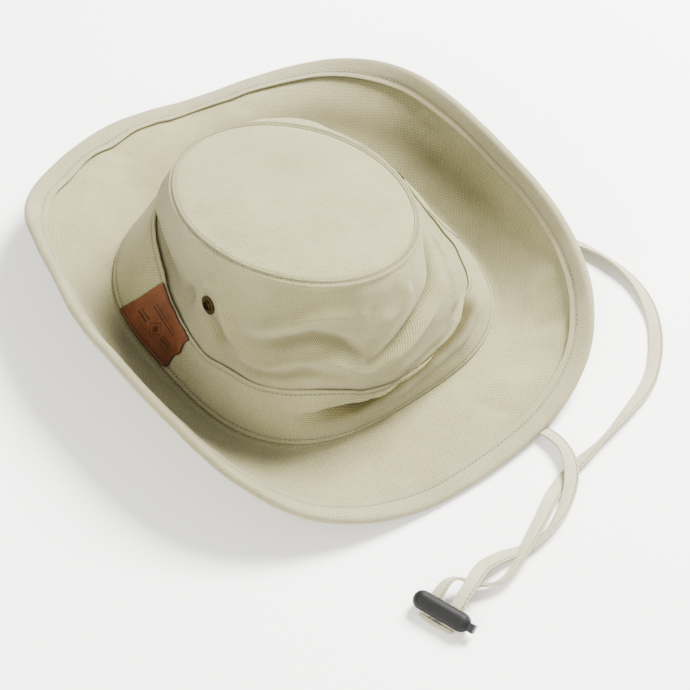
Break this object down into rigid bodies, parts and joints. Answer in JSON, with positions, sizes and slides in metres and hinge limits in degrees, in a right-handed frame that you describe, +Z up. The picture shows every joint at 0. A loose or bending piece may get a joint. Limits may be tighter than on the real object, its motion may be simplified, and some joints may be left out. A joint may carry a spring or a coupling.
{
  "type": "boonie sun hat",
  "caption": "Soft canvas sun hat with a stiffened curled brim, leather-labelled band, vent eyelets and a flat chin tape that closes in a spring-loaded cord lock.",
  "frame": {"origin": "centre of the hat's footprint, without its chin tape, on the surface it lies on", "axes": "+Z up out of the crown; the wearer faces -Y; +X is the wearer's left"},
  "size_m": [0.277, 0.3812, 0.1037],
  "materials": {
    "canvas": "cotton duck canvas, light khaki",
    "interlining": "stiff white interlining",
    "binding": "bias-cut canvas binding, khaki",
    "sweatband_cotton": "brushed cotton, khaki",
    "thread": "polyester thread, khaki",
    "label_leather": "dark reddish brown, waxed",
    "label_thread": "dark brown thread",
    "eyelet_brass": "antique bronze finish",
    "tape": "flat cream woven tape",
    "lock_plastic": "matte charcoal",
    "plunger_plastic": "satin dark grey",
    "spring_steel": "bright spring wire"
  },
  "bodies": {
    "hat": {"crown_tip": "canvas", "crown_wall": "canvas", "hat_band": "canvas", "sweatband": "sweatband_cotton", "brim_upper_ply": "canvas", "brim_interlining": "interlining", "brim_lower_ply": "canvas", "brim_binding": "binding", "tip_stitching": "thread", "band_upper_stitching": "thread", "band_lower_stitching": "thread", "binding_stitching": "thread", "leather_label": "label_leather", "label_stitching": "label_thread", "eyelet_right": "eyelet_brass", "eyelet_right_washer": "eyelet_brass", "eyelet_left": "eyelet_brass", "eyelet_left_washer": "eyelet_brass", "tape_anchor_left": "tape", "tape_anchor_right": "tape", "chin_tape_left": "tape", "chin_tape_right": "tape", "chin_tape_end": "tape"},
    "cord_lock": {"lock_housing": "lock_plastic", "lock_spring": "spring_steel"},
    "lock_plunger_body": {"lock_plunger": "plunger_plastic"}
  },
  "joints": [
    {"name": "lock_on_tape", "type": "slide", "parent": "hat", "child": "cord_lock", "axis": [0.7838, 0.2381, 0.5736], "range_m": [0, 0.004]},
    {"name": "plunger_press", "type": "slide", "parent": "cord_lock", "child": "lock_plunger_body", "axis": [-0.2907, 0.9568, 0], "range_m": [0, 0.0025], "stiffness_N_per_m": 400, "springref_m": -0.003, "deforming": ["lock_spring"]}
  ]
}
